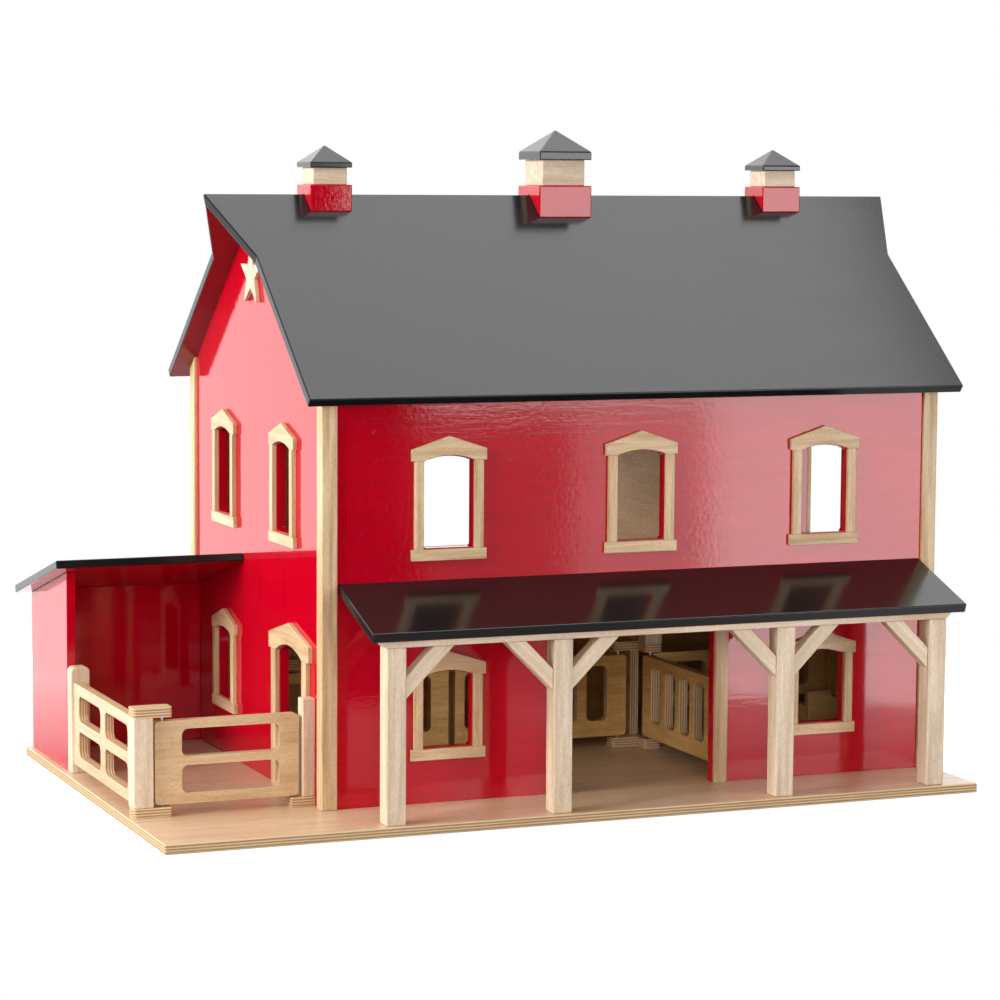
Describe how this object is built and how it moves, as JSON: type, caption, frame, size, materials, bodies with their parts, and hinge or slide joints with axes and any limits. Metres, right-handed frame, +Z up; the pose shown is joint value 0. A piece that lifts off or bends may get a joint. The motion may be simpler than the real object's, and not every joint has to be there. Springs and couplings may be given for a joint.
{
  "type": "toy barn",
  "caption": "Two storey wooden toy barn with a porch, an open shed, a fenced yard, stalls and gates that swing on upright pins.",
  "frame": {"origin": "centre of the whole toy's bounding box, at the underside of the base board", "axes": "+X along the barn's front from the yard to the closed gable, +Y from the porch to the back, +Z up"},
  "size_m": [0.8602, 0.5231, 0.6281],
  "materials": {
    "red_paint": "gloss red paint on birch plywood",
    "black_paint": "gloss black paint on birch plywood",
    "solid_wood": "sanded pale solid wood",
    "birch_ply": "sanded birch plywood",
    "steel_pin": "plain steel pin"
  },
  "bodies": {
    "barn": {"base_board": "birch_ply", "front_wall": "red_paint", "left_gable_wall": "red_paint", "right_gable_wall": "red_paint", "back_wall": "red_paint", "corner_post_front_left": "solid_wood", "corner_post_front_right": "solid_wood", "corner_post_back_left": "solid_wood", "corner_post_back_right": "solid_wood", "loft_floor": "birch_ply", "loft_partition": "birch_ply", "stall_partition_1": "birch_ply", "stall_partition_2": "birch_ply", "slotted_panel": "birch_ply", "gate_hanger": "solid_wood", "feeder_front": "birch_ply", "feeder_side": "birch_ply", "roof_front": "black_paint", "roof_back": "black_paint", "cupola_base_left": "red_paint", "cupola_base_middle": "red_paint", "cupola_base_right": "red_paint", "cupola_body_left": "solid_wood", "cupola_body_middle": "solid_wood", "cupola_body_right": "solid_wood", "cupola_cap_left": "black_paint", "cupola_cap_middle": "black_paint", "cupola_cap_right": "black_paint", "gable_star": "solid_wood", "porch_roof": "black_paint", "porch_beam": "solid_wood", "porch_posts": "solid_wood", "porch_braces": "solid_wood", "window_trim_upper": "solid_wood", "window_trim_lower": "solid_wood", "window_trim_gable": "solid_wood", "gable_door_trim": "solid_wood", "main_door_trim": "solid_wood", "loft_door_trim": "solid_wood", "shed_roof": "black_paint", "shed_side_wall": "red_paint", "shed_back_wall": "red_paint", "shed_post": "solid_wood", "fence_panel": "birch_ply", "yard_post": "solid_wood", "yard_foot_block": "birch_ply", "yard_cap_block": "birch_ply", "latch_strip": "solid_wood", "latch_foot": "birch_ply", "gate_foot_blocks": "birch_ply", "gate_top_blocks": "birch_ply"},
    "yard_gate": {"yard_gate": "birch_ply", "yard_gate_pins": "steel_pin"},
    "stall_gate_1": {"stall_gate_1": "birch_ply", "stall_gate_1_pins": "steel_pin"},
    "stall_gate_2": {"stall_gate_2": "birch_ply", "stall_gate_2_pins": "steel_pin"},
    "stall_gate_3": {"stall_gate_3": "birch_ply", "stall_gate_3_pins": "steel_pin"}
  },
  "joints": [
    {"name": "yard_gate_swing", "type": "hinge", "parent": "barn", "child": "yard_gate", "pos_m": [-0.3876, -0.1372, 0.0575], "axis": [0, 0, 1], "range_deg": [-95, 90]},
    {"name": "stall_gate_1_swing", "type": "hinge", "parent": "barn", "child": "stall_gate_1", "pos_m": [-0.2255, 0.0424, 0.061], "axis": [0, 0, -1], "range_deg": [0, 90]},
    {"name": "stall_gate_2_swing", "type": "hinge", "parent": "barn", "child": "stall_gate_2", "pos_m": [0.1412, 0.0424, 0.061], "axis": [0, 0, 1], "range_deg": [0, 90]},
    {"name": "stall_gate_3_swing", "type": "hinge", "parent": "barn", "child": "stall_gate_3", "pos_m": [0.16845, 0.0236, 0.061], "axis": [0, 0, 1], "range_deg": [0, 65]}
  ]
}
